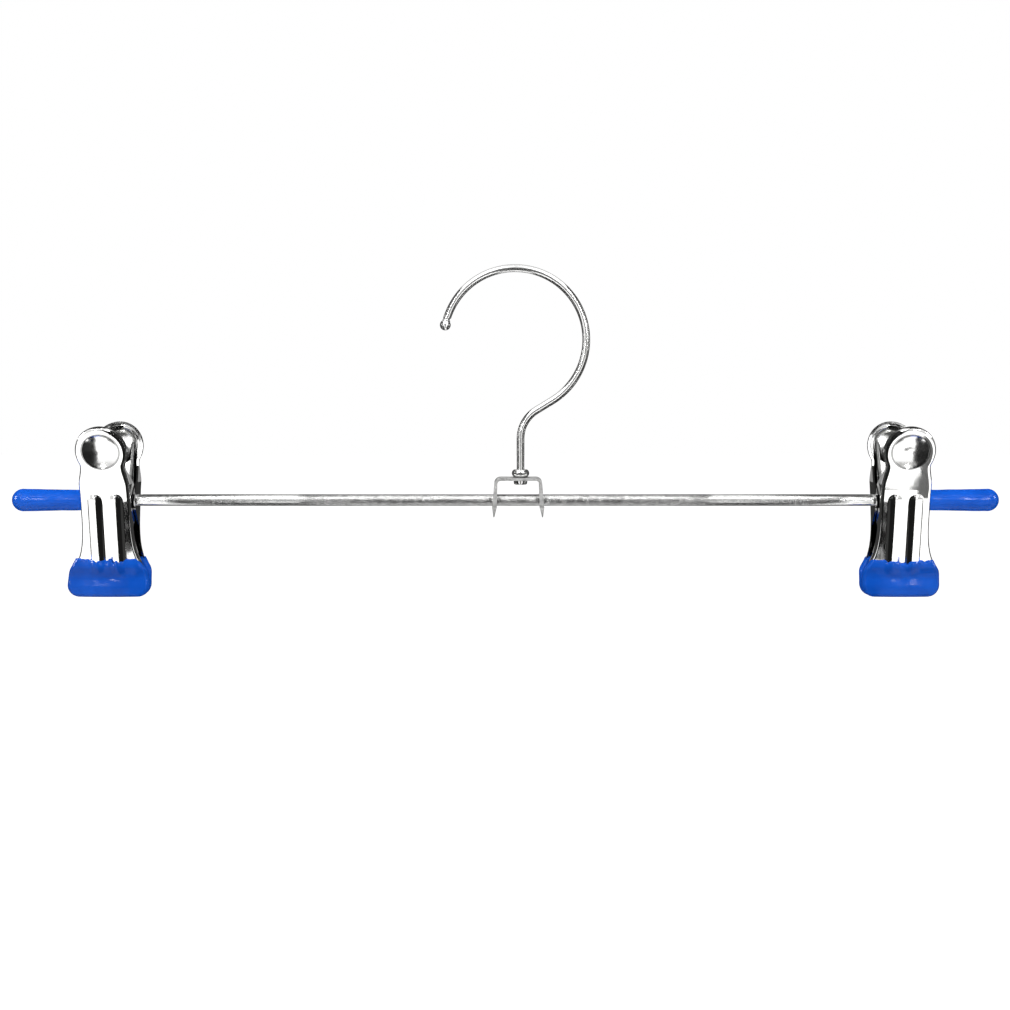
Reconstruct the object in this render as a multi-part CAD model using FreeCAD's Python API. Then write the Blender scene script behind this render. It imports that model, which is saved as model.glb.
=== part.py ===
"""Skirt hanger: a swivelling wire hook, a round steel bar and two sprung clips that slide along it."""
import FreeCAD, Part
import math
import os

Vec = FreeCAD.Vector

# All sizes are millimetres and degrees.
# The origin is the saddle: the point inside the top of the hook that rests on the rail.
# +X runs along the bar to the right, +Y is the back, +Z is up.

# Hook
HOOK_WIRE_D = 2.5
HOOK_INSIDE_R = 21.7
HOOK_TIP_ANGLE = 168.0
HOOK_TIP_BALL_D = 3.5
HOOK_TIP_NECK_D = 2.1
NECK_BEND_R = 10.7
NECK_STRAIGHT = 5.9
STEM_LENGTH = 20.0
SWIVEL_FROM_SADDLE = 1.8

# Collar and peened head that trap the stem in the bracket
COLLAR_D = 5.7
COLLAR_H = 2.4
COLLAR_END_D = 4.3
COLLAR_CRIMPS = 6
COLLAR_CRIMP_DEPTH = 0.12
PEEN_HEAD_D = 4.4
PEEN_HEAD_H = 1.3
PEEN_EDGE_R = 0.6
SWIVEL_PLAY = 0.15
STEM_HOLE_PLAY = 0.1

# Bracket
STRIP_T = 0.9
STRIP_W = 7.0
CROSSBAR_TOP = 7.4
BRACKET_TOP_HALF = 7.6
BRACKET_CORNER_R = 2.0
LEG_OUT_AT_BAR = 8.45
LEG_T_AT_BAR = 1.5
LEG_SHOULDER_DROP = 2.4
LEG_TIP_DROP = 5.6
LEG_TIP_OUT = 8.05
LEG_TIP_T = 0.3
LEG_TIP_W = 1.6
LEG_NOSE_R = 2.0
STEM_RIGHT_OF_BRACKET = 0.75

# Bar
BAR_D = 3.8
BAR_LENGTH = 313.0
BAR_END_CHAMFER = 0.4
BAR_RIGHT_OF_SWIVEL = -4.9
CRIMP_DEPTH = 0.25
CRIMP_TOOL_R = 1.0
CRIMP_FROM_LEG = 0.75

# End sleeves
SLEEVE_D = 7.4
SLEEVE_MOUTH_D = 6.8
SLEEVE_MOUTH_R = 0.9
SLEEVE_END_WALL = 3.5
SLEEVE_ON_BAR = 19.5
SLEEVE_TO_CLIP = 0.5

# Clip jaws, one pressed sheet each
SHEET_T = 0.6
NEST_PLAY = 0.2
BAR_HOLE_PLAY = 0.1
HEAD_R = 8.2
HEAD_Z = 16.5
HEAD_LEAN = 21.8
NECK_ANGLE = 28.0
NECK_PULL = 1.4
EAR_HALF_W = 8.1
EAR_R = 4.0
EAR_STRAIGHT_UP = 5.5
EAR_STRAIGHT_DOWN = 6.0
EAR_PULL = 2.2
FLARE_PULL_UP = 15.0
FLARE_PULL_DOWN = 4.0
TIP_HALF_W = 12.1
TIP_DROP = 30.5
TIP_CORNER_R = 3.2
TIP_BEND_DROP = 24.0
TIP_BEND_R = 10.0
FACE_OUT = 8.2
FACE_BEND_UP = 1.0
FACE_BEND_R = 40.0
CROWN_R = 75.0
CROWN_SWEEP = 40.0
RIM_R = 1.2
HEAD_LIP = 2.8
SIDE_LIP = 2.4
TIP_LIP = 0.75
EAR_ROOT_UP = 9.5
EAR_ROOT_DOWN = 9.5
LIP_FADE_FROM = 17.5
LIP_FADE_TO = 20.5

# Thumb dimple in each head
DIMPLE_R = 6.0
DIMPLE_DEPTH = 1.8
DIMPLE_RIM_R = 0.25

# Two stiffening ribs pressed into each jaw
RIB_OFFSET = 3.25
RIB_HALF_W = 2.3
RIB_H = 1.0
RIB_FOOT_R = 0.5
RIB_TOP = 1.0
RIB_BOTTOM = -22.0

# Dipped pads
PAD_T = 0.9
PAD_TOP_DROP = 18.7
PAD_GAP = 0.3
PAD_RIB_SWELL = 0.55

# Torsion springs
SPRING_WIRE_D = 1.2
SPRING_BAR_PLAY = 0.3
SPRING_HALF_L = 5.4
SPRING_WHOLE_TURNS = 5
SPRING_ARM_TOP = 17.0
SPRING_ARM_SEAT = 0.95
SPRING_GAP_POINTS = 24

# Values that follow from the sizes above
HOOK_R = HOOK_INSIDE_R + HOOK_WIRE_D / 2
NECK_DX = SWIVEL_FROM_SADDLE + NECK_BEND_R
NECK_CENTRES = math.hypot(HOOK_R + NECK_BEND_R, NECK_STRAIGHT)
NECK_DZ = math.sqrt(NECK_CENTRES**2 - NECK_DX**2)
BAR_Z = -HOOK_INSIDE_R - NECK_DZ - STEM_LENGTH
BAR_R = BAR_D / 2
BAR_MIDDLE_X = SWIVEL_FROM_SADDLE + BAR_RIGHT_OF_SWIVEL
BRACKET_X = SWIVEL_FROM_SADDLE - STEM_RIGHT_OF_BRACKET
NEST_SHIFT = (SHEET_T + NEST_PLAY) / 2
SLEEVE_MOUTH_FROM_MIDDLE = BAR_LENGTH / 2 - SLEEVE_ON_BAR
CLIP_FROM_BAR_MIDDLE = SLEEVE_MOUTH_FROM_MIDDLE - SLEEVE_TO_CLIP - NEST_SHIFT - EAR_HALF_W
CROWN_SAG = CROWN_R - math.sqrt(CROWN_R**2 - TIP_HALF_W**2)
TIP_OUT = PAD_GAP / 2 + PAD_T + SHEET_T + CROWN_SAG
CROWN_AXIS_Y = CROWN_R - TIP_OUT
RIB_R = (RIB_HALF_W**2 + RIB_H**2) / (2 * RIB_H)
DIMPLE_BALL_R = (DIMPLE_R**2 + DIMPLE_DEPTH**2) / (2 * DIMPLE_DEPTH)
COIL_R = BAR_R + SPRING_BAR_PLAY + SPRING_WIRE_D / 2
LIMIT = 4 * (TIP_DROP + HEAD_Z + HEAD_R)
ON_CURVE = 1e-4


def bearing(degrees):
    """A direction in the X-Z plane, in degrees from +X towards +Z."""
    angle = math.radians(degrees)
    return Vec(math.cos(angle), 0, math.sin(angle))


def rounded_path(points, radii):
    """Straight edges through the points, with a tangent arc of the given radius at each inner point."""
    edges = []
    last = points[0]
    for before, corner, after, radius in zip(points, points[1:], points[2:], radii):
        into = (corner - before).normalize()
        out = (after - corner).normalize()
        turn = into.getAngle(out)
        setback = radius * math.tan(turn / 2)
        start = corner - into * setback
        end = corner + out * setback
        inward = (out - into).normalize()
        middle = corner + inward * (radius / math.cos(turn / 2) - radius)
        edges.append(Part.LineSegment(last, start).toShape())
        edges.append(Part.Arc(start, middle, end).toShape())
        last = end
    edges.append(Part.LineSegment(last, points[-1]).toShape())
    return edges


def polygon(points):
    """A flat face through the points."""
    return Part.Face(Part.makePolygon(list(points) + [points[0]]))


def round_wire(point, along, radius):
    """A circle about a point, square to a direction."""
    return Part.Wire(Part.Circle(point, along, radius).toShape())


def along_x(radius, start_x, end_x):
    """A cylinder on the X axis."""
    return Part.makeCylinder(radius, end_x - start_x, Vec(start_x, 0, 0), Vec(1, 0, 0))


def whole(shape):
    """The one solid of a shape, with merged faces."""
    return shape.removeSplitter().Solids[0]


def placed_on_bar(shape, x):
    """A shape made about the bar's axis, moved to its place along the bar."""
    moved = shape.copy()
    moved.translate(Vec(x, 0, BAR_Z))
    return moved


def hook_path():
    """The hook's centre line, from its tip over the bow and down the stem to the peened head."""
    bow = Vec(0, 0, -HOOK_INSIDE_R)
    bend = bow + Vec(NECK_DX, 0, -NECK_DZ)
    centre_line = math.degrees(math.atan2(-NECK_DZ, NECK_DX))
    leave = centre_line + math.degrees(math.acos((HOOK_R + NECK_BEND_R) / NECK_CENTRES))
    middle = (HOOK_TIP_ANGLE + leave) / 2
    bow_end = bow + bearing(leave) * HOOK_R
    bend_start = bend - bearing(leave) * NECK_BEND_R
    bend_middle = bend - bearing(leave / 2) * NECK_BEND_R
    bend_end = bend - Vec(NECK_BEND_R, 0, 0)
    stem_end = Vec(SWIVEL_FROM_SADDLE, 0, BAR_Z + CROSSBAR_TOP - STRIP_T - SWIVEL_PLAY - PEEN_HEAD_H / 2)
    tip = bow + bearing(HOOK_TIP_ANGLE) * HOOK_R
    edges = [
        Part.Arc(tip, bow + bearing(middle) * HOOK_R, bow_end).toShape(),
        Part.LineSegment(bow_end, bend_start).toShape(),
        Part.Arc(bend_start, bend_middle, bend_end).toShape(),
        Part.LineSegment(bend_end, stem_end).toShape(),
    ]
    return edges, tip, bearing(HOOK_TIP_ANGLE - 90)


def make_hook_wire():
    """The bent wire, with a ball tip behind a short neck and a peened head under the bracket."""
    edges, tip, tip_along = hook_path()
    wire_r = HOOK_WIRE_D / 2
    wire = Part.Wire(edges).makePipeShell([round_wire(tip, tip_along, wire_r)], True, False)
    groove_r = (HOOK_WIRE_D - HOOK_TIP_NECK_D) / 2
    groove_at = tip + tip_along * (HOOK_TIP_BALL_D / 2 + groove_r)
    groove = Part.makeTorus(wire_r + groove_r, 2 * groove_r, groove_at, tip_along)
    ball = Part.makeSphere(HOOK_TIP_BALL_D / 2, tip)
    head_z = BAR_Z + CROSSBAR_TOP - STRIP_T - SWIVEL_PLAY - PEEN_HEAD_H
    head = Part.makeCylinder(PEEN_HEAD_D / 2, PEEN_HEAD_H, Vec(SWIVEL_FROM_SADDLE, 0, head_z))
    lower_edge = [edge for edge in head.Edges if abs(edge.CenterOfMass.z - head_z) < ON_CURVE]
    head = head.makeFillet(PEEN_EDGE_R, lower_edge)
    return whole(wire.cut(groove).fuse([ball, head]))


def make_hook_collar():
    """A bead swaged on the stem, with small flats left by the crimping tool."""
    base = BAR_Z + CROSSBAR_TOP + SWIVEL_PLAY
    bore = HOOK_WIRE_D / 2
    end = COLLAR_END_D / 2
    foot = Vec(bore, 0, base)
    side = Part.Arc(
        Vec(end, 0, base), Vec(COLLAR_D / 2, 0, base + COLLAR_H / 2), Vec(end, 0, base + COLLAR_H)
    ).toShape()
    edges = [
        Part.LineSegment(foot, Vec(end, 0, base)).toShape(),
        side,
        Part.LineSegment(Vec(end, 0, base + COLLAR_H), Vec(bore, 0, base + COLLAR_H)).toShape(),
        Part.LineSegment(Vec(bore, 0, base + COLLAR_H), foot).toShape(),
    ]
    bead = Part.Face(Part.Wire(edges)).revolve(Vec(0, 0, 0), Vec(0, 0, 1), 360)
    flat_at = COLLAR_D / 2 - COLLAR_CRIMP_DEPTH
    for crimp in range(COLLAR_CRIMPS):
        tool = Part.makeBox(COLLAR_D, COLLAR_D, COLLAR_H, Vec(flat_at, -COLLAR_D / 2, base))
        tool.rotate(Vec(0, 0, 0), Vec(0, 0, 1), (crimp + 0.5) * 360 / COLLAR_CRIMPS)
        bead = bead.cut(tool)
    bead.translate(Vec(SWIVEL_FROM_SADDLE, 0, 0))
    return bead.Solids[0]


def make_swivel_bracket():
    """A bent strip: a crossbar for the stem, and two splayed, pointed legs that the bar runs through."""
    inner_top = CROSSBAR_TOP - STRIP_T
    inner_half = BRACKET_TOP_HALF - STRIP_T
    leg_outside = [Vec(LEG_OUT_AT_BAR, 0, -LEG_SHOULDER_DROP), Vec(LEG_TIP_OUT, 0, -LEG_TIP_DROP)]
    leg_inside = [
        Vec(LEG_TIP_OUT - LEG_TIP_T, 0, -LEG_TIP_DROP),
        Vec(LEG_OUT_AT_BAR - LEG_T_AT_BAR, 0, -LEG_SHOULDER_DROP),
    ]
    right = [Vec(BRACKET_TOP_HALF, 0, CROSSBAR_TOP)]
    right += leg_outside + leg_inside
    right.append(Vec(inner_half, 0, inner_top))
    left = [Vec(-point.x, 0, point.z) for point in reversed(right)]
    strip = polygon(right + left).extrude(Vec(0, STRIP_W, 0))
    strip.translate(Vec(0, -STRIP_W / 2, 0))

    def corner_edges(x, z):
        return [
            edge
            for edge in strip.Edges
            if abs(abs(edge.CenterOfMass.x) - x) < ON_CURVE and abs(edge.CenterOfMass.z - z) < ON_CURVE
        ]

    strip = strip.makeFillet(BRACKET_CORNER_R, corner_edges(BRACKET_TOP_HALF, CROSSBAR_TOP))
    strip = strip.makeFillet(BRACKET_CORNER_R - STRIP_T, corner_edges(inner_half, inner_top))

    wide = STRIP_W / 2
    narrow = LEG_TIP_W / 2
    side_right = [Vec(0, wide, CROSSBAR_TOP), Vec(0, wide, -BAR_R), Vec(0, narrow, -LEG_TIP_DROP)]
    side_left = [Vec(0, -point.y, point.z) for point in side_right]
    nose_radii = [LEG_NOSE_R, narrow / 2, narrow / 2, LEG_NOSE_R]
    nose = rounded_path(side_right + list(reversed(side_left)), nose_radii)
    nose.append(Part.LineSegment(side_left[0], side_right[0]).toShape())
    side_view = Part.Face(Part.Wire(nose)).extrude(Vec(2 * LEG_OUT_AT_BAR, 0, 0))
    side_view.translate(Vec(-LEG_OUT_AT_BAR, 0, 0))
    strip = strip.common(side_view)

    stem_hole_r = HOOK_WIRE_D / 2 + STEM_HOLE_PLAY
    stem_foot = Vec(STEM_RIGHT_OF_BRACKET, 0, inner_top - STRIP_T / 2)
    stem_hole = Part.makeCylinder(stem_hole_r, 2 * STRIP_T, stem_foot)
    bar_hole = along_x(BAR_R, -LEG_OUT_AT_BAR, LEG_OUT_AT_BAR)
    strip = strip.cut([stem_hole, bar_hole])
    return placed_on_bar(whole(strip), BRACKET_X)


def make_hanger_bar():
    """The round bar, pinched beside each bracket leg so that the bracket can't slide."""
    start = BAR_MIDDLE_X - BAR_LENGTH / 2
    bar = along_x(BAR_R, start, start + BAR_LENGTH)
    rims = [edge for edge in bar.Edges if isinstance(edge.Curve, Part.Circle)]
    bar = bar.makeChamfer(BAR_END_CHAMFER, rims)
    inside = LEG_OUT_AT_BAR - LEG_T_AT_BAR - CRIMP_FROM_LEG
    outside = LEG_OUT_AT_BAR + CRIMP_FROM_LEG
    pinch_y = BAR_R + CRIMP_TOOL_R - CRIMP_DEPTH
    pinches = []
    for offset in (-outside, -inside, inside, outside):
        for side in (-1, 1):
            at = Vec(BRACKET_X + offset, side * pinch_y, -BAR_R)
            pinches.append(Part.makeCylinder(CRIMP_TOOL_R, BAR_D, at))
    return placed_on_bar(whole(bar.cut(pinches)), 0)


def make_left_sleeve():
    """A dipped end sleeve: open at the clip, closed and round at the end of the bar."""
    mouth_x = -SLEEVE_MOUTH_FROM_MIDDLE
    bore_end_x = -BAR_LENGTH / 2
    end_x = bore_end_x - SLEEVE_END_WALL
    round_r = SLEEVE_D / 2
    mouth_r = SLEEVE_MOUTH_D / 2
    dome_x = end_x + round_r
    lean = math.sqrt(0.5)
    dome_middle = Vec(dome_x - round_r * lean, round_r * lean, 0)
    lip_middle = Vec(mouth_x - SLEEVE_MOUTH_R * (1 - lean), mouth_r - SLEEVE_MOUTH_R * (1 - lean), 0)
    lip_face = Vec(mouth_x, mouth_r - SLEEVE_MOUTH_R, 0)
    lip_side = Vec(mouth_x - SLEEVE_MOUTH_R, mouth_r, 0)
    edges = [
        Part.LineSegment(Vec(mouth_x, BAR_R, 0), lip_face).toShape(),
        Part.Arc(lip_face, lip_middle, lip_side).toShape(),
        Part.LineSegment(lip_side, Vec(dome_x, round_r, 0)).toShape(),
        Part.Arc(Vec(dome_x, round_r, 0), dome_middle, Vec(end_x, 0, 0)).toShape(),
        Part.LineSegment(Vec(end_x, 0, 0), Vec(bore_end_x, 0, 0)).toShape(),
        Part.LineSegment(Vec(bore_end_x, 0, 0), Vec(bore_end_x, BAR_R, 0)).toShape(),
        Part.LineSegment(Vec(bore_end_x, BAR_R, 0), Vec(mouth_x, BAR_R, 0)).toShape(),
    ]
    sleeve = Part.Face(Part.Wire(edges)).revolve(Vec(0, 0, 0), Vec(1, 0, 0), 360)
    return placed_on_bar(sleeve.Solids[0], BAR_MIDDLE_X)


def face_points():
    """The outside line of a front jaw seen from the side, from above the head down past the tip."""
    bend = Vec(0, -FACE_OUT, FACE_BEND_UP)
    lean = math.radians(HEAD_LEAN)
    top = bend + Vec(0, -math.sin(lean), math.cos(lean)) * LIMIT
    tip = Vec(0, -TIP_OUT, -TIP_BEND_DROP)
    return [top, bend, tip, tip - Vec(0, 0, LIMIT)]


def face_line(depth):
    """The side line moved inwards by a depth, as the edges of its straight runs and bends."""
    points = face_points()
    lines = []
    for start, end in zip(points, points[1:]):
        along = (end - start).normalize()
        inward = Vec(0, -along.z, along.y) * depth
        lines.append((start + inward, end + inward, along))
    moved = [lines[0][0]]
    for (_, first_end, first_along), (second_start, _, second_along) in zip(lines, lines[1:]):
        across = Vec(0, -second_along.z, second_along.y)
        reach = (second_start - first_end).dot(across) / first_along.dot(across)
        moved.append(first_end + first_along * reach)
    moved.append(lines[-1][1])
    return rounded_path(moved, [FACE_BEND_R + depth, TIP_BEND_R + depth])


def side_view(depth):
    """The side view of everything behind the line that lies a depth inside the outer face."""
    edges = face_line(depth)
    top = edges[0].Vertexes[0].Point
    bottom = edges[-1].Vertexes[-1].Point
    back_top = Vec(0, CROWN_AXIS_Y / 2, top.z)
    back_bottom = Vec(0, CROWN_AXIS_Y / 2, bottom.z)
    edges.append(Part.LineSegment(bottom, back_bottom).toShape())
    edges.append(Part.LineSegment(back_bottom, back_top).toShape())
    edges.append(Part.LineSegment(back_top, top).toShape())
    return Part.Face(Part.Wire(edges))


def straight(view):
    """A side view drawn out straight to both sides."""
    block = view.extrude(Vec(2 * LIMIT, 0, 0))
    block.translate(Vec(-LIMIT, 0, 0))
    return block


def crowned(view):
    """A side view swept to both sides along the gentle crown of the jaw's face."""
    axis = Vec(0, CROWN_AXIS_Y, 0)
    block = view.revolve(axis, Vec(0, 0, 1), CROWN_SWEEP)
    block.rotate(axis, Vec(0, 0, 1), -CROWN_SWEEP / 2)
    return block


def point_on_face(z, depth=0.0):
    """The point of the side line at a height, moved inwards by a depth, with the line's inward direction."""
    line = Part.Wire(face_line(0))
    level = Part.LineSegment(Vec(0, -LIMIT, z), Vec(0, LIMIT, z)).toShape()
    point = line.distToShape(level)[1][0][0]
    nearest = min(line.Edges, key=lambda edge: edge.distToShape(Part.Vertex(point))[0])
    along = nearest.tangentAt(nearest.Curve.parameter(point))
    inward = Vec(0, -along.z, along.y)
    if inward.y < 0:
        inward = inward * -1
    return point + inward * depth, inward


def jaw_outline(inset):
    """The jaw seen from the front, drawn in by an inset: round head, slim neck, straight ears, flared tip."""
    head_r = HEAD_R - inset
    ear_half = EAR_HALF_W - inset
    tip_half = TIP_HALF_W - inset
    corner_r = TIP_CORNER_R - inset
    bottom = -TIP_DROP + inset
    edges = []
    for side in (1, -1):

        def at(x, z, side=side):
            return Vec(side * x, 0, z)

        neck = math.radians(NECK_ANGLE)
        neck_x = head_r * math.cos(neck)
        neck_z = HEAD_Z - head_r * math.sin(neck)
        neck_curve = Part.BezierCurve()
        neck_curve.setPoles([
            at(neck_x, neck_z),
            at(neck_x - NECK_PULL * math.sin(neck), neck_z - NECK_PULL * math.cos(neck)),
            at(ear_half, EAR_STRAIGHT_UP + EAR_PULL),
            at(ear_half, EAR_STRAIGHT_UP),
        ])
        flare = Part.BezierCurve()
        flare.setPoles([
            at(ear_half, -EAR_STRAIGHT_DOWN),
            at(ear_half, -EAR_STRAIGHT_DOWN - FLARE_PULL_UP),
            at(tip_half, -TIP_BEND_DROP + FLARE_PULL_DOWN),
            at(tip_half, -TIP_BEND_DROP),
        ])
        turn = corner_r * (1 - math.sqrt(0.5))
        edges += [
            neck_curve.toShape(),
            Part.LineSegment(at(ear_half, EAR_STRAIGHT_UP), at(ear_half, -EAR_STRAIGHT_DOWN)).toShape(),
            flare.toShape(),
            Part.LineSegment(at(tip_half, -TIP_BEND_DROP), at(tip_half, bottom + corner_r)).toShape(),
            Part.Arc(
                at(tip_half, bottom + corner_r),
                at(tip_half - turn, bottom + turn),
                at(tip_half - corner_r, bottom),
            ).toShape(),
        ]
    edges.append(Part.Arc(
        Vec(neck_x, 0, neck_z), Vec(0, 0, HEAD_Z + head_r), Vec(-neck_x, 0, neck_z)
    ).toShape())
    edges.append(Part.LineSegment(
        Vec(tip_half - corner_r, 0, bottom), Vec(-tip_half + corner_r, 0, bottom)
    ).toShape())
    return Part.Wire(Part.sortEdges(edges)[0])


def middle_of(edge):
    """The point half way along an edge."""
    first, last = edge.ParameterRange
    return edge.valueAt((first + last) / 2)


def on_face(line, point):
    """Whether a point lies on the crowned face that has this side line."""
    out = math.hypot(point.x, CROWN_AXIS_Y - point.y)
    return line.distToShape(Part.Vertex(0, CROWN_AXIS_Y - out, point.z))[0] < ON_CURVE


def touches(solid, point):
    """Whether a point lies on a solid's skin."""
    return solid.Shells[0].distToShape(Part.Vertex(point))[0] < ON_CURVE


def pressed_form(depth, rim_r):
    """The full block of a jaw, a depth inside its outer face and outline, with its front rim rounded."""
    prism = Part.Face(jaw_outline(depth)).extrude(Vec(0, 2 * LIMIT, 0))
    prism.translate(Vec(0, -LIMIT, 0))
    form = prism.common(crowned(side_view(depth))).Solids[0]
    line = Part.Wire(face_line(depth))
    bottom = -TIP_DROP + depth
    rim = []
    for edge in form.Edges:
        middle = middle_of(edge)
        level = edge.BoundBox.ZLength < ON_CURVE
        at_bottom = abs(middle.z - bottom) < ON_CURVE
        if on_face(line, middle) and (at_bottom or not level):
            rim.append(edge)
    return form.makeFillet(rim_r, rim)


def rib_bar(side, radius):
    """One rib: a round bar let into the lower face, with ball ends."""
    top, inward = point_on_face(RIB_BOTTOM / 2)
    along = Vec(0, inward.z, -inward.y)
    axis_depth = RIB_R - RIB_H
    through = top + inward * axis_depth
    upper = through + along * ((RIB_TOP - through.z) / along.z)
    lower = through + along * ((RIB_BOTTOM - through.z) / along.z)
    shift = Vec(side * RIB_OFFSET, 0, 0)
    rod = Part.makeCylinder(radius, (lower - upper).Length, upper + shift, lower - upper)
    ends = [Part.makeSphere(radius, upper + shift), Part.makeSphere(radius, lower + shift)]
    return rod.fuse(ends).removeSplitter()


def dimple_ball(extra):
    """The ball that presses the thumb dimple into the head."""
    centre, inward = point_on_face(HEAD_Z)
    return Part.makeSphere(DIMPLE_BALL_R + extra, centre - inward * (DIMPLE_BALL_R - DIMPLE_DEPTH))


def skin(depth, rim_r):
    """The jaw's block with its ribs raised and its dimple pressed in, a depth inside the outer face."""
    form = pressed_form(depth, rim_r)
    line = Part.Wire(face_line(depth))
    ribs = [rib_bar(side, RIB_R - depth) for side in (1, -1)]
    form = form.fuse(ribs).removeSplitter()

    def edges_along(tools):
        middles = [(edge, middle_of(edge)) for edge in form.Edges]
        return [
            edge
            for edge, middle in middles
            if on_face(line, middle) and any(touches(tool, middle) for tool in tools)
        ]

    form = form.makeFillet(RIB_FOOT_R, edges_along(ribs))
    ball = dimple_ball(depth)
    form = form.cut(ball)
    return form.makeFillet(DIMPLE_RIM_R + depth, edges_along([ball]))


def lip_region():
    """The side view of what the sheet keeps: its face, a lip along the rim and the ears round the bar."""
    def back(z, depth):
        return point_on_face(z, depth)[0]

    head_top = HEAD_Z + HEAD_R
    front = [Vec(0, -LIMIT, -LIMIT), Vec(0, -LIMIT, LIMIT)]
    rear = [
        back(head_top + HEAD_LIP, HEAD_LIP),
        back(EAR_ROOT_UP, HEAD_LIP),
        back(0, SIDE_LIP),
        back(-EAR_ROOT_DOWN, SIDE_LIP),
        back(-LIP_FADE_FROM, SIDE_LIP),
        back(-LIP_FADE_TO, TIP_LIP),
        back(-TIP_DROP - TIP_LIP, TIP_LIP),
    ]
    strip = crowned(polygon(front + rear))
    ear_points = [rear[1], rear[3]]
    ear_tangents = []
    for point, side in zip(ear_points, (1, -1)):
        reach = math.hypot(point.y, point.z)
        angle = math.atan2(point.z, point.y) - side * math.acos(EAR_R / reach)
        ear_tangents.append(Vec(0, EAR_R * math.cos(angle), EAR_R * math.sin(angle)))
    ear = straight(polygon([
        Vec(0, -FACE_OUT, 0), ear_points[0], ear_tangents[0], Vec(0, 0, 0), ear_tangents[1], ear_points[1]
    ]))
    return strip.fuse([ear, along_x(EAR_R, -LIMIT, LIMIT)])


def make_jaw():
    """A front jaw about the bar's axis."""
    shell = skin(0, RIM_R).cut(skin(SHEET_T, RIM_R - SHEET_T))
    jaw = shell.common(lip_region())
    jaw = jaw.cut(along_x(BAR_R + BAR_HOLE_PLAY, -LIMIT, LIMIT))
    return max(jaw.Solids, key=lambda solid: solid.Volume)


def make_pad(jaw):
    """The dipped coating over a front jaw's tip, all round the sheet."""
    coat = pressed_form(-PAD_T, RIM_R + PAD_T)
    ribs = [rib_bar(side, RIB_R + PAD_RIB_SWELL) for side in (1, -1)]
    coat = coat.fuse(ribs).cut(straight(side_view(SHEET_T + PAD_T + CROWN_SAG)))
    below = Part.makeBox(2 * LIMIT, 2 * LIMIT, LIMIT, Vec(-LIMIT, -LIMIT, -PAD_TOP_DROP - LIMIT))
    coat = coat.common(below).cut(jaw)
    return max(coat.Solids, key=lambda solid: solid.Volume)


def biarc(start, start_along, end, end_along):
    """Two tangent arcs from one point and direction to another."""
    chord = end - start
    both = start_along + end_along
    spread = 2 * (1 - start_along.dot(end_along))
    reach = (math.sqrt(chord.dot(both) ** 2 + spread * chord.dot(chord)) - chord.dot(both)) / spread
    corners = [start + start_along * reach, end - end_along * reach]
    joint = (corners[0] + corners[1]) / 2
    edges = []
    for first, corner, last in ((start, corners[0], joint), (joint, corners[1], end)):
        half = (last - first).Length / 2
        base = (first + last) / 2
        rise = (corner - base).Length
        sagitta = half * math.tan(math.atan2(rise, half) / 2)
        edges.append(Part.Arc(first, base + (corner - base) / rise * sagitta, last).toShape())
    return edges


def spring_arm_end():
    """The seat of the front arm's end on the inside of the front head."""
    wire_r = SPRING_WIRE_D / 2
    return point_on_face(SPRING_ARM_TOP, SHEET_T + SPRING_ARM_SEAT + wire_r)[0]


def spring_path():
    """The spring's centre line: down the front arm, round the bar and up the back arm."""
    front_end = spring_arm_end()
    reach = math.hypot(front_end.y, front_end.z)
    towards = math.atan2(front_end.z, front_end.y)
    front_angle = towards + math.acos(COIL_R / reach)
    back_angle = math.pi - front_angle + 2 * math.pi
    whole_turn = back_angle - front_angle + 2 * math.pi * SPRING_WHOLE_TURNS
    steps = math.ceil(whole_turn / (math.pi / 2))
    pitch_slope = 2 * SPRING_HALF_L / (whole_turn * COIL_R)

    def point(step):
        angle = front_angle + whole_turn * step / steps
        x = -SPRING_HALF_L + 2 * SPRING_HALF_L * step / steps
        return Vec(x, COIL_R * math.cos(angle), COIL_R * math.sin(angle))

    def heading(step):
        angle = front_angle + whole_turn * step / steps
        slope = 0 if step in (0, steps) else pitch_slope
        return Vec(slope, -math.sin(angle), math.cos(angle)).normalize()

    top = Vec(-SPRING_HALF_L, front_end.y, front_end.z)
    edges = [Part.LineSegment(top, point(0)).toShape()]
    for step in range(steps):
        edges += biarc(point(step), heading(step), point(step + 1), heading(step + 1))
    back_top = Vec(SPRING_HALF_L, -front_end.y, front_end.z)
    edges.append(Part.LineSegment(point(steps), back_top).toShape())
    return edges, top, heading(0)


def least_gap(edges):
    """The least gap between the spring's turns, measured on points along its centre line."""
    points = []
    travelled = 0
    for edge in edges:
        first, last = edge.ParameterRange
        for step in range(SPRING_GAP_POINTS):
            share = step / SPRING_GAP_POINTS
            points.append((travelled + edge.Length * share, edge.valueAt(first + (last - first) * share)))
        travelled += edge.Length
    apart = math.pi * COIL_R
    distances = [
        (second - first).Length
        for number, (first_at, first) in enumerate(points)
        for second_at, second in points[number:]
        if second_at - first_at > apart
    ]
    return min(distances) - SPRING_WIRE_D


def make_spring():
    """A torsion spring wound round the bar, with one arm up each jaw."""
    edges, top, along = spring_path()
    print("least gap between spring turns", round(least_gap(edges), 3))
    profile = round_wire(top, along, SPRING_WIRE_D / 2)
    return Part.Wire(edges).makePipeShell([profile], True, False)


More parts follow.
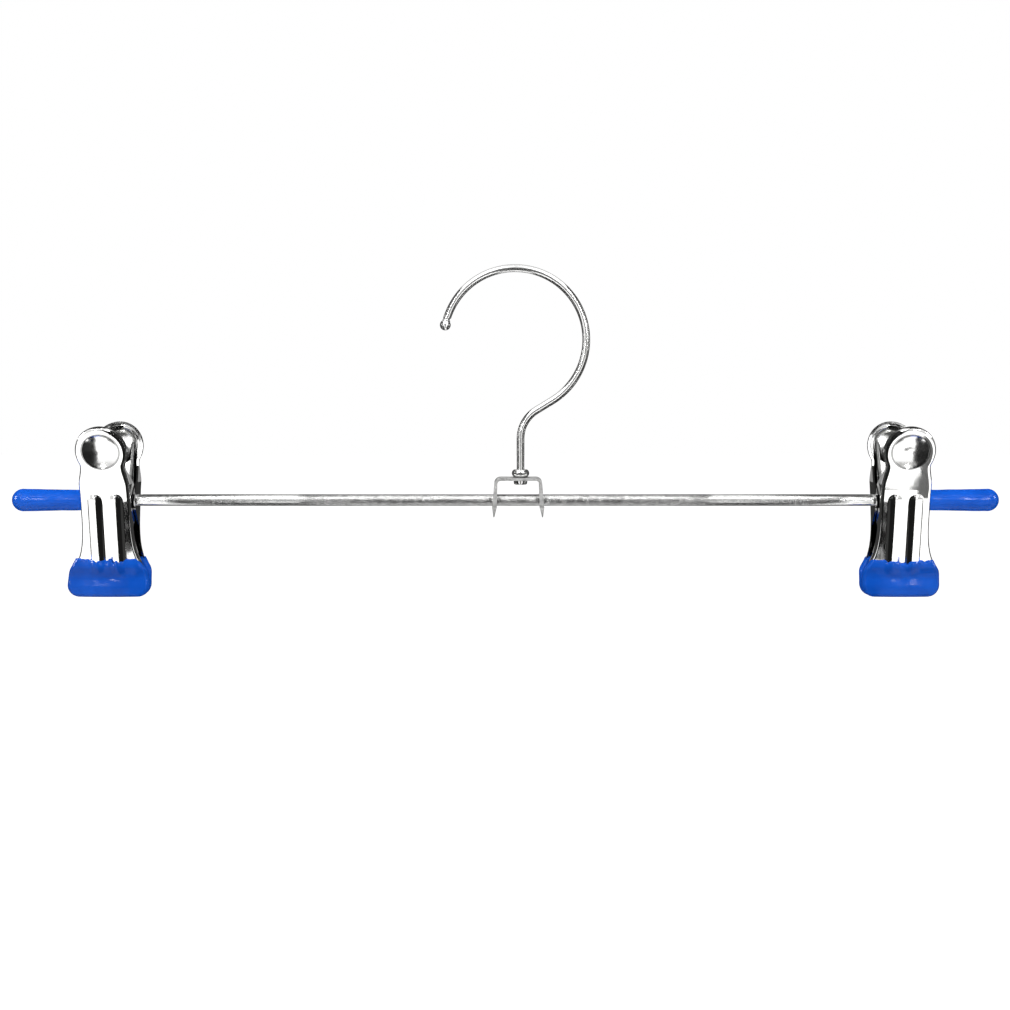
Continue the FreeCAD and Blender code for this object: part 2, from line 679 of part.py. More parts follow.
def make_parts():
    """Every piece of the hanger by name, in its place."""
    parts = {
        "hook_wire": make_hook_wire(),
        "hook_collar": make_hook_collar(),
        "swivel_bracket": make_swivel_bracket(),
        "hanger_bar": make_hanger_bar(),
    }
    jaw = make_jaw()
    pad = make_pad(jaw)
    for piece in (jaw, pad):
        piece.translate(Vec(-NEST_SHIFT, 0, 0))
    left = {"left_end_sleeve": make_left_sleeve()}
    clip_x = BAR_MIDDLE_X - CLIP_FROM_BAR_MIDDLE
    for name, piece in (("jaw", jaw), ("pad", pad)):
        back = piece.copy()
        back.rotate(Vec(0, 0, 0), Vec(0, 0, 1), 180)
        left["left_front_" + name] = placed_on_bar(piece, clip_x)
        left["left_back_" + name] = placed_on_bar(back, clip_x)
    left["left_spring"] = placed_on_bar(make_spring(), clip_x)
    for name, piece in left.items():
        parts[name] = piece
        parts[name.replace("left", "right")] = piece.mirror(Vec(BAR_MIDDLE_X, 0, 0), Vec(1, 0, 0))
    return parts


os.makedirs("parts", exist_ok=True)
for name, shape in make_parts().items():
    shape.exportStep("parts/" + name + ".step")
    print(name, shape.isValid(), len(shape.Solids), round(shape.Volume, 2))
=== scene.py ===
"""Looks of the skirt hanger: finishes, dipped vinyl pads and sleeves, springs, light and camera."""
import math

import bmesh
import bpy
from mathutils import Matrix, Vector, noise


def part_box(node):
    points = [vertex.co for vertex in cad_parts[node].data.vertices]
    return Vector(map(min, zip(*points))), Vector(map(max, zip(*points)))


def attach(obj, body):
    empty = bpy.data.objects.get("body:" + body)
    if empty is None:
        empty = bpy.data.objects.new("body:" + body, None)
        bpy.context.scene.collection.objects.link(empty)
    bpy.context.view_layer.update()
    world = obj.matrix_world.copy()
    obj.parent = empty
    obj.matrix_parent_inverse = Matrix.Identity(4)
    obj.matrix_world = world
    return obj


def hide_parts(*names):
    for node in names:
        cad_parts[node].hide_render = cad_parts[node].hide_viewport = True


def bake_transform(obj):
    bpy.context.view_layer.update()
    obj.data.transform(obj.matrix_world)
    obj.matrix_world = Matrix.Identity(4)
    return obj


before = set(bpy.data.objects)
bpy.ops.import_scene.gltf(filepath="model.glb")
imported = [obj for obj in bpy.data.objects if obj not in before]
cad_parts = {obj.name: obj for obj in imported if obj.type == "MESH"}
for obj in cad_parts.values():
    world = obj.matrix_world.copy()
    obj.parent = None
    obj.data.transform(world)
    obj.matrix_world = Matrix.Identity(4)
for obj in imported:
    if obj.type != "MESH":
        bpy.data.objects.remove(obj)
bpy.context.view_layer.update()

MM = 0.001
TINY = 1e-6
SIDES = ("left", "right")

# Places taken from the frame, in metres
BAR_LOW, BAR_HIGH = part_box("hanger_bar")
BAR_MIDDLE = (BAR_LOW + BAR_HIGH) / 2
BAR_R = (BAR_HIGH.z - BAR_LOW.z) / 2

# The jaw's face, in millimetres from the bar's axis
FACE_OUT = 8.2
FACE_BEND_UP = 1.0
HEAD_LEAN = 21.8
SHEET_T = 0.6
NEST_SHIFT = 0.4
EAR_HALF_W = 8.1
EAR_STRAIGHT_DOWN = 6.0
FLARE_PULL_UP = 15.0
FLARE_PULL_DOWN = 4.0
HEAD_Z = 16.5
HEAD_LIP = 2.8
DIMPLE_R = 6.0
TIP_HALF_W = 12.1
TIP_DROP = 30.5
TIP_CORNER_R = 3.2
TIP_BEND_DROP = 24.0
TIP_BEND_HALF = 1.3
CROWN_R = 75.0
RIB_OFFSET = 3.25
RIB_HALF_W = 2.3
RIB_H = 1.0
RIB_FADE_FROM = -20.5
RIB_FADE_TO = -25.0
HALVINGS = 30

# Dipped pads, in millimetres
PAD_T = 0.9
PAD_TOP = -18.7
PAD_GAP = 0.3
PAD_TOP_THIN = 0.45
PAD_TOP_FADE = 3.0
PAD_TOP_ROUND = 0.9
PAD_EDGE_ROUND = 1.3
PAD_SIDE_THIN = 0.3
PAD_SIDE_FADE = 11.0
PAD_WAVE = 0.35
PAD_WAVE_SCALE = 0.45
PAD_RIPPLE = 3.0
PAD_RIPPLE_SEED = 5.0
PAD_NOTCH_HALF_W = 0.55
PAD_SWELL = 0.4
PAD_SWELL_AT = -21.6
PAD_SWELL_HALF_H = 1.8
PAD_DENT = 0.35
PAD_DENT_X = 0.4
PAD_DENT_AT = -25.2
PAD_DENT_HALF_W = 2.4
PAD_DENT_HALF_H = 1.2
PAD_SAG = 0.55
PAD_SAG_FROM = -24.8
PAD_SAG_TO = -28.5
PAD_LUMP = 0.07
PAD_LUMP_SCALE = 0.3
PAD_COLUMNS = 120
PAD_ROWS = 52
PAD_SEED = 1.3
PAD_SEED_STEP = 3.7

# Each pad: side, face, coat on the sides, shift, lift of the dipped edge, and notches as place and depth
PADS = (
    ("left", "front", 1.4, -0.5, 0.0,
     ((-5.3, 0.6), (-3.6, 1.1), (0.0, 0.9), (2.1, 1.2), (4.0, 0.9), (10.2, 0.7))),
    ("left", "back", 0.05, 0.0, 0.0, ((-4.0, 0.5), (2.6, 0.7))),
    ("right", "front", 0.5, 0.0, -0.5, ((4.7, 0.4), (0.4, 0.9), (-0.5, 0.7), (-1.6, 1.2), (-7.4, 0.6))),
    ("right", "back", 0.05, 0.0, 0.0, ((-3.0, 0.8), (5.0, 0.5))),
)

# Dipped sleeves, in millimetres
SLEEVE_MOUTH_TAPER = 0.3
SLEEVE_LIP_R = 0.8
SLEEVE_LUMP = 0.07
SLEEVE_LUMP_ALONG = 0.22
SLEEVE_LUMP_ROUND = 0.7
SLEEVE_END_T = 3.5
SLEEVE_SEED = 0.4
SLEEVE_SEED_STEP = 2.9
SLEEVE_LIP_STEPS = 8
SLEEVE_DOME_STEPS = 16
SLEEVE_RINGS = 64
SLEEVE_SIDES = 48

# Torsion springs, in millimetres
SPRING_WIRE_R = 0.6
SPRING_BAR_PLAY = 0.3
SPRING_HALF_L = 5.4
SPRING_WHOLE_TURNS = 5
SPRING_ARM_TOP = 17.0
SPRING_ARM_SEAT = 0.95
SPRING_STEPS_PER_TURN = 28
SPRING_ARM_STEPS = 8
SPRING_TUBE_SIDES = 14
SPRING_CAP_RINGS = 4
SPRING_CAP_FLAT = 0.6

# The bracket's leg tips, in millimetres below the bar's axis
LEG_TIP_DROP = 5.6
LEG_TIP_FADE = 3.0
LEG_TIP_SHADE = 0.3

# The middle stretch of the bar, where its relief is more mottled and a painted shade darkens it, in
# millimetres from its middle
BAR_SHADED_MOTTLE_FROM = 35.0
BAR_SHADED_MOTTLE_TO = 72.0

CROWN_SAG = CROWN_R - math.sqrt(CROWN_R**2 - TIP_HALF_W**2)
TIP_OUT = PAD_GAP / 2 + PAD_T + SHEET_T + CROWN_SAG
FACE_SLOPE = (FACE_OUT - TIP_OUT) / (TIP_BEND_DROP + FACE_BEND_UP)
PAD_BOTTOM = -TIP_DROP - PAD_T
PAD_CORNER_R = TIP_CORNER_R + PAD_T


def smooth(share):
    """A soft step from 0 to 1."""
    share = min(max(share, 0.0), 1.0)
    return share * share * (3 - 2 * share)


def rounded(share):
    """A quarter-round step from 0 to 1."""
    share = min(max(share, 0.0), 1.0)
    return math.sqrt(1 - (1 - share) ** 2)


def clip_place(side):
    """The point on the bar's axis in the middle of a clip."""
    low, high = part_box(side + "_spring")
    return Vector(((low.x + high.x) / 2, BAR_MIDDLE.y, BAR_MIDDLE.z))


def make_piece(name, points, faces):
    """A smooth mesh object from points in metres."""
    mesh = bpy.data.meshes.new(name)
    mesh.from_pydata([tuple(point) for point in points], [], faces)
    shape = bmesh.new()
    shape.from_mesh(mesh)
    bmesh.ops.recalc_face_normals(shape, faces=shape.faces)
    shape.to_mesh(mesh)
    shape.free()
    mesh.polygons.foreach_set("use_smooth", [True] * len(mesh.polygons))
    piece = bpy.data.objects.new(name, mesh)
    bpy.context.scene.collection.objects.link(piece)
    return piece


# Dipped pads


def face_y(z):
    """How far in front of the bar's axis the middle of a front jaw's lower face lies, as a Y value."""
    rise = z + TIP_BEND_DROP
    if rise >= TIP_BEND_HALF:
        ramp = rise
    elif rise <= -TIP_BEND_HALF:
        ramp = 0.0
    else:
        ramp = (rise + TIP_BEND_HALF) ** 2 / (4 * TIP_BEND_HALF)
    return -TIP_OUT - FACE_SLOPE * ramp


def sheet_half_width(z):
    """Half the jaw's width at a height below the ears."""
    if z <= -TIP_BEND_DROP:
        return TIP_HALF_W
    low, high = 0.0, 1.0
    heights = (-EAR_STRAIGHT_DOWN, -EAR_STRAIGHT_DOWN - FLARE_PULL_UP,
               -TIP_BEND_DROP + FLARE_PULL_DOWN, -TIP_BEND_DROP)
    for _ in range(HALVINGS):
        middle = (low + high) / 2
        if bezier(heights, middle) > z:
            low = middle
        else:
            high = middle
    return bezier((EAR_HALF_W, EAR_HALF_W, TIP_HALF_W, TIP_HALF_W), low)


def bezier(poles, share):
    """One coordinate of a cubic curve."""
    rest = 1 - share
    first, second, third, last = poles
    return (first * rest**3 + 3 * second * rest**2 * share
            + 3 * third * rest * share**2 + last * share**3)


def pad_half_width(z, side_coat):
    """Half the coated width at a height, with rounded lower corners."""
    fade = smooth((PAD_TOP - z) / PAD_SIDE_FADE)
    half = sheet_half_width(z) + PAD_SIDE_THIN + (side_coat - PAD_SIDE_THIN) * fade
    into_corner = PAD_BOTTOM + PAD_CORNER_R - z
    if into_corner > 0:
        half -= PAD_CORNER_R - math.sqrt(max(PAD_CORNER_R**2 - into_corner**2, 0.0))
    return half


def rib_height(x, z):
    """How far the ribs still lift the coat."""
    fade = 1 - smooth((RIB_FADE_FROM - z) / (RIB_FADE_FROM - RIB_FADE_TO))
    across = (abs(x) - RIB_OFFSET) / (RIB_HALF_W + PAD_T / 2)
    if abs(across) >= 1:
        return 0.0
    return RIB_H * fade * (0.5 + 0.5 * math.cos(math.pi * across))


def make_pad(side, face, seed, side_coat, shift, edge_lift, notches):
    """The vinyl skin of one jaw's tip, with an uneven dipped edge, rib bumps and a soft sag at the bottom."""
    place = clip_place(side)
    turn = 1 if face == "front" else -1
    mirror = 1 if side == "left" else -1

    def edge_z(x):
        level = PAD_TOP + edge_lift
        level += PAD_WAVE * noise.noise(Vector((x * PAD_WAVE_SCALE, seed, 0.0)))
        level += PAD_WAVE / 2 * noise.noise(Vector((x * PAD_WAVE_SCALE * PAD_RIPPLE, seed, PAD_RIPPLE_SEED)))
        for at, depth in notches:
            level -= depth * math.exp(-(((x - at) / PAD_NOTCH_HALF_W) ** 2))
        return level

    def spot(across, down):
        """The place on the skin's outline grid, and how far the skin stands off its middle there."""
        share = (1 - math.cos(math.pi * down)) / 2
        half = pad_half_width(PAD_TOP + (PAD_BOTTOM - PAD_TOP) * share, side_coat)
        x = half * math.sin(math.pi / 2 * across)
        top = edge_z(x)
        z = top + (PAD_BOTTOM - top) * share
        full = rounded((top - z) / PAD_TOP_ROUND) if down > 0 else 0.0
        full *= rounded((z - PAD_BOTTOM) / PAD_EDGE_ROUND) if down < 1 else 0.0
        full *= rounded((half - abs(x)) / PAD_EDGE_ROUND) if abs(across) < 1 else 0.0
        return x, z, full

    def placed(x, y, z):
        return place + Vector(((turn * (x - NEST_SHIFT) + shift) * mirror, turn * y, z)) * MM

    def middle_y(x, z):
        return face_y(z) + x * x / (2 * CROWN_R) + SHEET_T / 2

    def front_at(across, down):
        x, z, full = spot(across, down)
        thick = PAD_T * (PAD_TOP_THIN + (1 - PAD_TOP_THIN) * smooth((PAD_TOP - z) / PAD_TOP_FADE))
        thick += PAD_SWELL * math.exp(-(((z - PAD_SWELL_AT) / PAD_SWELL_HALF_H) ** 2))
        thick += PAD_SAG * smooth((PAD_SAG_FROM - z) / (PAD_SAG_FROM - PAD_SAG_TO))
        thick += PAD_LUMP * noise.noise(Vector((x * PAD_LUMP_SCALE, z * PAD_LUMP_SCALE, seed)))
        dent = ((x - PAD_DENT_X) / PAD_DENT_HALF_W) ** 2 + ((z - PAD_DENT_AT) / PAD_DENT_HALF_H) ** 2
        thick -= PAD_DENT * math.exp(-dent)
        out = (SHEET_T / 2 + thick + rib_height(x, z)) * full
        return placed(x, middle_y(x, z) - out, z)

    def back_at(across, down):
        x, z, full = spot(across, down)
        deep = face_y(z) + SHEET_T + PAD_T + CROWN_SAG - middle_y(x, z)
        return placed(x, middle_y(x, z) + deep * full, z)

    points = []
    front = {}
    back = {}
    for row in range(PAD_ROWS + 1):
        for column in range(PAD_COLUMNS + 1):
            across = 2 * column / PAD_COLUMNS - 1
            down = row / PAD_ROWS
            front[row, column] = back[row, column] = len(points)
            points.append(front_at(across, down))
            if 0 < row < PAD_ROWS and 0 < column < PAD_COLUMNS:
                back[row, column] = len(points)
                points.append(back_at(across, down))
    faces = []
    for row in range(PAD_ROWS):
        for column in range(PAD_COLUMNS):
            ring = [(row, column), (row + 1, column), (row + 1, column + 1), (row, column + 1)]
            faces.append([front[key] for key in ring])
            faces.append([back[key] for key in reversed(ring)])
    pad = make_piece(f"{side}_{face}_vinyl_pad", points, faces)
    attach(pad, f"{side}_{face}_jaw")
    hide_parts(f"{side}_{face}_pad")
    return pad


# Dipped sleeves


def make_sleeve(side, seed):
    """A dipped sleeve round the end of the bar, with a soft lip, a round end and slight lumps."""
    low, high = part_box(side + "_end_sleeve")
    outward = -1 if side == "left" else 1
    mouth_x = high.x if side == "left" else low.x
    length = (high.x - low.x) / MM
    round_r = (high.z - low.z) / 2 / MM
    bar_r = BAR_R / MM

    def radius_at(along):
        return round_r - SLEEVE_MOUTH_TAPER * (1 - smooth(along / length))

    profile = [(length - SLEEVE_END_T, 0.0), (length - SLEEVE_END_T, bar_r), (0.0, bar_r)]
    mouth_r = radius_at(0.0)
    for step in range(SLEEVE_LIP_STEPS + 1):
        angle = math.pi / 2 * step / SLEEVE_LIP_STEPS
        profile.append((SLEEVE_LIP_R * (1 - math.cos(angle)),
                        mouth_r - SLEEVE_LIP_R * (1 - math.sin(angle))))
    straight = length - round_r - SLEEVE_LIP_R
    for step in range(1, SLEEVE_RINGS):
        along = SLEEVE_LIP_R + straight * step / SLEEVE_RINGS
        profile.append((along, radius_at(along)))
    for step in range(SLEEVE_DOME_STEPS + 1):
        angle = math.pi / 2 * step / SLEEVE_DOME_STEPS
        profile.append((length - round_r + round_r * math.sin(angle), round_r * math.cos(angle)))

    points = []
    rings = []
    for along, radius in profile:
        if radius < TINY:
            rings.append([len(points)] * SLEEVE_SIDES)
            points.append(Vector((mouth_x + outward * along * MM, BAR_MIDDLE.y, BAR_MIDDLE.z)))
            continue
        ring = []
        for side_step in range(SLEEVE_SIDES):
            angle = 2 * math.pi * side_step / SLEEVE_SIDES
            lump = 0.0
            if radius > bar_r:
                spot = Vector((along * SLEEVE_LUMP_ALONG,
                               math.cos(angle) * SLEEVE_LUMP_ROUND,
                               math.sin(angle) * SLEEVE_LUMP_ROUND + seed))
                lump = SLEEVE_LUMP * (noise.noise(spot) - 0.5) * smooth(radius / round_r)
            ring.append(len(points))
            reach = (radius + lump) * MM
            points.append(Vector((mouth_x + outward * along * MM,
                                  BAR_MIDDLE.y + reach * math.cos(angle),
                                  BAR_MIDDLE.z + reach * math.sin(angle))))
        rings.append(ring)
    sleeve = make_piece(side + "_vinyl_sleeve", points, faces_between(rings, SLEEVE_SIDES))
    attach(sleeve, "frame")
    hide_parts(side + "_end_sleeve")
    return sleeve


def faces_between(rings, sides):
    """Faces between rings of point numbers, with triangles where a ring is a single point."""
    faces = []
    for first, second in zip(rings, rings[1:]):
        for step in range(sides):
            after = (step + 1) % sides
            face = []
            for corner in (first[step], first[after], second[after], second[step]):
                if corner not in face:
                    face.append(corner)
            faces.append(face)
    return faces


# Torsion springs


def spring_line():
    """The spring's centre line in the left clip, in millimetres from the bar: front arm, coil, back arm."""
    coil_r = BAR_R / MM + SPRING_BAR_PLAY + SPRING_WIRE_R
    lean = math.radians(HEAD_LEAN)
    seat = SHEET_T + SPRING_ARM_SEAT + SPRING_WIRE_R
    end_y = -FACE_OUT - (SPRING_ARM_TOP - FACE_BEND_UP) * math.tan(lean) + seat * math.cos(lean)
    end_z = SPRING_ARM_TOP + seat * math.sin(lean)
    reach = math.hypot(end_y, end_z)
    first = math.atan2(end_z, end_y) + math.acos(coil_r / reach)
    whole = 3 * math.pi - 2 * first + 2 * math.pi * SPRING_WHOLE_TURNS
    steps = round(whole / (2 * math.pi) * SPRING_STEPS_PER_TURN)
    coil = []
    for step in range(steps + 1):
        angle = first + whole * step / steps
        x = -SPRING_HALF_L + 2 * SPRING_HALF_L * step / steps
        coil.append(Vector((x, coil_r * math.cos(angle), coil_r * math.sin(angle))))
    front_end = Vector((-SPRING_HALF_L, end_y, end_z))
    back_end = Vector((SPRING_HALF_L, -end_y, end_z))
    line = [front_end.lerp(coil[0], step / SPRING_ARM_STEPS) for step in range(SPRING_ARM_STEPS)]
    line += coil
    line += [coil[-1].lerp(back_end, step / SPRING_ARM_STEPS) for step in range(1, SPRING_ARM_STEPS + 1)]
    return line


def tube_rings(line, radius, sides):
    """Rings round a line, carried along it without twist, with round ends."""
    headings = []
    for number in range(len(line)):
        before = line[max(number - 1, 0)]
        after = line[min(number + 1, len(line) - 1)]
        headings.append((after - before).normalized())
    across = headings[0].orthogonal().normalized()
    rings = []
    for number, (point, heading) in enumerate(zip(line, headings)):
        across = (across - heading * across.dot(heading)).normalized()
        stations = [(0.0, radius)]
        if number in (0, len(line) - 1):
            way = -1 if number == 0 else 1
            cap = []
            for step in range(1, SPRING_CAP_RINGS + 1):
                angle = math.pi / 2 * step / SPRING_CAP_RINGS
                cap.append((way * radius * math.sin(angle) * SPRING_CAP_FLAT, radius * math.cos(angle)))
            stations = list(reversed(cap)) + stations if number == 0 else stations + cap
        for offset, ring_r in stations:
            rings.append((point + heading * offset, across, heading.cross(across), ring_r))
    return [
        [
            centre + (first * math.cos(angle) + second * math.sin(angle)) * ring_r
            for angle in (2 * math.pi * step / sides for step in range(sides))
        ] if ring_r > TINY else [centre]
        for centre, first, second, ring_r in rings
    ]


def make_spring(side):
    """One wound torsion spring, with an arm against each of its two jaws."""
    place = clip_place(side)
    mirror = 1 if side == "left" else -1
    points = []
    rings = []
    for ring in tube_rings(spring_line(), SPRING_WIRE_R, SPRING_TUBE_SIDES):
        numbers = []
        for point in ring:
            numbers.append(len(points))
            points.append(place + Vector((point.x * mirror, point.y, point.z)) * MM)
        rings.append(numbers if len(numbers) > 1 else numbers * SPRING_TUBE_SIDES)
    spring = make_piece(side + "_coil_spring", points, faces_between(rings, SPRING_TUBE_SIDES))
    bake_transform(spring)
    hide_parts(side + "_spring")
    return spring


# Finishes
GREY_WARMTH = 0.99
SHELTER_SAMPLES = 8

# Marks on the jaws, in millimetres: the painted dark line round the dimple, the darker band at the head's
# lip, the satin and the top band where the painted recess shade eases off
LINE_IN_FROM = 0.55
LINE_IN_TO = 0.05
LINE_OUT_FROM = 0.1
LINE_OUT_TO = 0.4
LINE_SHADE = 0.3
EDGE_FROM = 0.25
EDGE_TO = 0.1
EDGE_SHADE = 0.6
SATIN_FADE = 0.8
SATIN_ROUGH = 0.12
TOP_BAND = 6.0
TOP_SHADE = 0.8

# The painted dark streak along the bar's front, a painted reflection of the dark in front of it, in
# millimetres from its axis
PAINTED_STREAK_LOW = -1.2
PAINTED_STREAK_FULL_LOW = -0.4
PAINTED_STREAK_FULL_HIGH = 0.1
PAINTED_STREAK_HIGH = 0.8
PAINTED_STREAK_SHADE = 0.42
MIDDLE_MASK_LEAST = 0.1
MIDDLE_PAINTED_SHADE = 0.62

# The vinyl's blue, from the dark to the light of its clouds
BLUES = ((0.25, (0.004, 0.085, 0.54)), (0.5, (0.006, 0.104, 0.63)), (0.75, (0.008, 0.124, 0.71)))
PAD_TONE = 1.0
SLEEVE_TONE = 1.22


class Finish:
    """A node material that starts from a principled shader."""

    def __init__(self, name):
        self.material = bpy.data.materials.new(name)
        self.material.use_nodes = True
        self.nodes = self.material.node_tree.nodes
        self.links = self.material.node_tree.links
        self.shader = self.nodes["Principled BSDF"]

    def add(self, kind, **values):
        node = self.nodes.new(kind)
        for name, value in values.items():
            setattr(node, name, value)
        return node

    def grain(self, scale, detail=4.0, rough=0.5, stretch=(1.0, 1.0, 1.0), twist=0.0):
        """A noise pattern in the object's own metres."""
        place = self.add("ShaderNodeTexCoord")
        mapping = self.add("ShaderNodeMapping")
        mapping.inputs["Scale"].default_value = stretch
        pattern = self.add("ShaderNodeTexNoise")
        pattern.inputs["Scale"].default_value = scale
        pattern.inputs["Detail"].default_value = detail
        pattern.inputs["Roughness"].default_value = rough
        pattern.inputs["Distortion"].default_value = twist
        self.links.new(place.outputs["Object"], mapping.inputs["Vector"])
        self.links.new(mapping.outputs["Vector"], pattern.inputs["Vector"])
        return pattern.outputs["Fac"]

    def ranged(self, source, low, high, from_low=0.3, from_high=0.7):
        """A pattern's middle stretched to a range."""
        node = self.add("ShaderNodeMapRange")
        node.inputs["From Min"].default_value = from_low
        node.inputs["From Max"].default_value = from_high
        node.inputs["To Min"].default_value = low
        node.inputs["To Max"].default_value = high
        self.links.new(source, node.inputs["Value"])
        return node.outputs["Result"]

    def greys(self, source, *stops):
        """A pattern turned into greys."""
        return self.colours(source, [(position, grey(value)) for position, value in stops])

    def colours(self, source, stops):
        """A pattern turned into colours."""
        ramp = self.add("ShaderNodeValToRGB")
        band = ramp.color_ramp
        while len(band.elements) < len(stops):
            band.elements.new(0.5)
        for element, (position, colour) in zip(band.elements, stops):
            element.position = position
            element.color = (*colour, 1.0)
        self.links.new(source, ramp.inputs["Fac"])
        return ramp.outputs["Color"]

    def shelter(self, reach, low, high, dark, light):
        """A shade that falls from light on open faces to dark in narrow spaces."""
        open_sky = self.add("ShaderNodeAmbientOcclusion")
        open_sky.samples = SHELTER_SAMPLES
        open_sky.inputs["Distance"].default_value = reach
        return self.ranged(open_sky.outputs["AO"], dark, light, low, high)

    def distance(self, centre):
        """How far a point of the surface lies from a centre, in metres."""
        place = self.add("ShaderNodeTexCoord")
        span = self.add("ShaderNodeVectorMath", operation="DISTANCE")
        span.inputs[1].default_value = centre
        self.links.new(place.outputs["Object"], span.inputs[0])
        return span.outputs["Value"]

    def height(self):
        """How high a point of the surface lies, in metres."""
        place = self.add("ShaderNodeTexCoord")
        parts = self.add("ShaderNodeSeparateXYZ")
        self.links.new(place.outputs["Object"], parts.inputs["Vector"])
        return parts.outputs["Z"]

    def along(self, centre, heading):
        """How far a point of the surface lies from a centre along a heading, in metres."""
        place = self.add("ShaderNodeTexCoord")
        offset = self.add("ShaderNodeVectorMath", operation="SUBTRACT")
        offset.inputs[1].default_value = centre
        self.links.new(place.outputs["Object"], offset.inputs[0])
        reach = self.add("ShaderNodeVectorMath", operation="DOT_PRODUCT")
        reach.inputs[1].default_value = heading
        self.links.new(offset.outputs["Vector"], reach.inputs[0])
        return reach.outputs["Value"]

    def joined(self, kind, first, second):
        """Two patterns put together, one number at a time."""
        node = self.add("ShaderNodeMath", operation=kind)
        self.links.new(first, node.inputs[0])
        self.links.new(second, node.inputs[1])
        return node.outputs[0]

    def shaded(self, colour, shade):
        """A colour times a shade."""
        mix = self.add("ShaderNodeMix")
        mix.data_type = "RGBA"
        mix.blend_type = "MULTIPLY"
        mix.inputs["Factor"].default_value = 1.0
        self.links.new(colour, mix.inputs["A"])
        self.links.new(shade, mix.inputs["B"])
        return mix.outputs["Result"]

    def bump(self, *layers):
        """Relief from several patterns, each with its height in millimetres."""
        normal = None
        for source, height in layers:
            node = self.add("ShaderNodeBump")
            node.inputs["Strength"].default_value = 1.0
            node.inputs["Distance"].default_value = height * MM
            self.links.new(source, node.inputs["Height"])
            if normal is not None:
                self.links.new(normal, node.inputs["Normal"])
            normal = node.outputs["Normal"]
        self.links.new(normal, self.shader.inputs["Normal"])

    def set(self, **values):
        for name, value in values.items():
            self.shader.inputs[name.replace("_", " ")].default_value = value

    def drive(self, name, source):
        self.links.new(source, self.shader.inputs[name])


def grey(value):
    """A neutral colour with a trace of warmth."""
    return (value, value, value * GREY_WARMTH)


def dimple_centre(side, face):
    """The middle of a jaw's thumb dimple on its outer face, in metres."""
    turn = 1 if face == "front" else -1
    mirror = 1 if side == "left" else -1
    lean = math.radians(HEAD_LEAN)
    out = FACE_OUT + (HEAD_Z - FACE_BEND_UP) * math.tan(lean)
    return clip_place(side) + Vector((-turn * NEST_SHIFT * mirror, -turn * out, HEAD_Z)) * MM


def chrome_finish(side, face):
    """Bright plating on pressed sheet: faint waves, rubs, painted shade in recesses and between the jaws, a
    painted dark line round the dimple, a darker band at the head's lip, a satin dimple.
    """
    finish = Finish(f"{side}_{face}_plated_sheet")
    finish.set(Metallic=1.0)
    patches = finish.grain(scale=140, detail=6, rough=0.6, twist=0.4)
    rubs = finish.grain(scale=900, detail=3, stretch=(1.0, 1.0, 0.12))
    waves = finish.grain(scale=95, detail=1)
    plating = finish.greys(patches, (0.3, 0.84), (0.6, 0.93))
    head_top = BAR_MIDDLE.z + (HEAD_Z + DIMPLE_R) * MM
    # Painted shade: darker in recesses and where the jaws face each other, eased off in a band at the head's
    # top
    top = finish.ranged(finish.height(), 0.0, TOP_SHADE, head_top - TOP_BAND * MM, head_top)
    painted_shelter_shade = finish.shelter(reach=0.03, low=0.3, high=0.75, dark=0.08, light=1.0)
    painted_recess_shade = finish.joined("MAXIMUM", painted_shelter_shade, top)
    from_dimple = finish.distance(dimple_centre(side, face))
    # Painted reflection: a dark line round the dimple's rim, standing in for the dark that the rim reflects
    painted_line_in = finish.ranged(from_dimple, 1.0, LINE_SHADE,
                            (DIMPLE_R - LINE_IN_FROM) * MM, (DIMPLE_R - LINE_IN_TO) * MM)
    painted_line_out = finish.ranged(from_dimple, LINE_SHADE, 1.0,
                             (DIMPLE_R + LINE_OUT_FROM) * MM, (DIMPLE_R + LINE_OUT_TO) * MM)
    line = finish.joined("MAXIMUM", painted_line_in, painted_line_out)
    turn = 1 if face == "front" else -1
    lean = math.radians(HEAD_LEAN)
    # A darker band on the sheet at the head's lip
    depth = finish.along(dimple_centre(side, face), (0.0, turn * math.cos(lean), math.sin(lean)))
    darker_lip = finish.ranged(depth, 1.0, EDGE_SHADE, (HEAD_LIP - EDGE_FROM) * MM, (HEAD_LIP - EDGE_TO) * MM)
    shade = finish.joined("MULTIPLY", finish.joined("MULTIPLY", painted_recess_shade, line), darker_lip)
    finish.drive("Base Color", finish.shaded(plating, shade))
    satin = finish.ranged(from_dimple, SATIN_ROUGH, 0.0, (DIMPLE_R - SATIN_FADE) * MM, DIMPLE_R * MM)
    finish.drive("Roughness", finish.joined("ADD", finish.ranged(rubs, 0.04, 0.09), satin))
    finish.bump((waves, 0.12), (rubs, 0.002))
    return finish.material


def wire_finish():
    """Bright zinc plating on drawn wire, with faint mottling and small pits."""
    finish = Finish("plated_wire")
    finish.set(Metallic=0.95)
    mottle = finish.grain(scale=900, detail=6, rough=0.65)
    pits = finish.grain(scale=2600, detail=3)
    finish.drive("Base Color", finish.greys(mottle, (0.3, 0.74), (0.5, 0.88), (0.7, 0.95)))
    finish.drive("Roughness", finish.ranged(mottle, 0.2, 0.1))
    finish.bump((mottle, 0.016), (pits, 0.004))
    return finish.material


